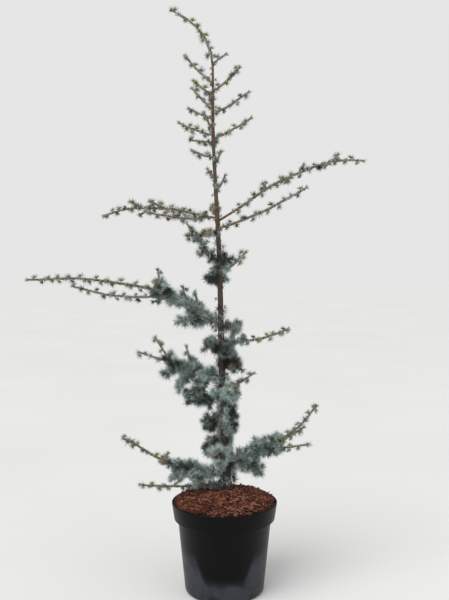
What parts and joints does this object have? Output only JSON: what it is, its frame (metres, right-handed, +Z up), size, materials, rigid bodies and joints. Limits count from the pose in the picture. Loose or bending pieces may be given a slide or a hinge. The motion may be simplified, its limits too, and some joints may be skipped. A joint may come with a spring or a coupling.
{
  "type": "young blue cedar tree in a nursery pot",
  "caption": "Young cedar tree with a thin leaning trunk, a nodding top, long bare-ended side branches and blue-green needles, in a black nursery pot with bark mulch",
  "frame": {"origin": "centre of the pot's flat underside, on the surface that it stands on", "axes": "+Z up along the tree; +X to the right and +Y away, seen from the side that shows the long branches spread to left and right"},
  "size_m": [0.8461, 0.3871, 1.4116],
  "materials": {
    "pot_plastic": "black moulded plastic, satin",
    "potting_soil": "dark damp potting soil, matt",
    "bark_chips": "reddish brown bark chips, matt",
    "bark": "grey-brown to orange-brown bark, matt",
    "needles": "blue-grey-green waxy needles on brown twigs"
  },
  "bodies": {
    "root": {"bark_mulch": "bark_chips", "bough_high_left": "bark", "bough_high_right": "bark", "bough_low_back": "bark", "bough_low_left": "bark", "bough_low_right": "bark", "bough_lower_left": "bark", "bough_mid_left": "bark", "bough_upper_back": "bark", "needles_high_back": "needles", "needles_high_front": "needles", "needles_high_left": "needles", "needles_high_right": "needles", "needles_high_right_front": "needles", "needles_inner_01": "needles", "needles_inner_02": "needles", "needles_inner_03": "needles", "needles_inner_04": "needles", "needles_inner_05": "needles", "needles_inner_06": "needles", "needles_inner_07": "needles", "needles_inner_08": "needles", "needles_inner_09": "needles", "needles_inner_10": "needles", "needles_inner_11": "needles", "needles_leader": "needles", "needles_low_back": "needles", "needles_low_front": "needles", "needles_low_left": "needles", "needles_low_left_back": "needles", "needles_low_right": "needles", "needles_lower_left": "needles", "needles_mid_back": "needles", "needles_mid_front": "needles", "needles_mid_left": "needles", "needles_mid_right": "needles", "needles_rising_left": "needles", "needles_shoot_01": "needles", "needles_shoot_02": "needles", "needles_shoot_03": "needles", "needles_shoot_04": "needles", "needles_shoot_05": "needles", "needles_shoot_06": "needles", "needles_shoot_07": "needles", "needles_shoot_08": "needles", "needles_shoot_09": "needles", "needles_shoot_10": "needles", "needles_shoot_11": "needles", "needles_shoot_12": "needles", "needles_shoot_13": "needles", "needles_shoot_14": "needles", "needles_shoot_15": "needles", "needles_shoot_16": "needles", "needles_shoot_17": "needles", "needles_small_right_high": "needles", "needles_small_right_low": "needles", "needles_upper_back": "needles", "pot": "pot_plastic", "root_ball": "potting_soil", "trunk": "bark"}
  },
  "joints": []
}
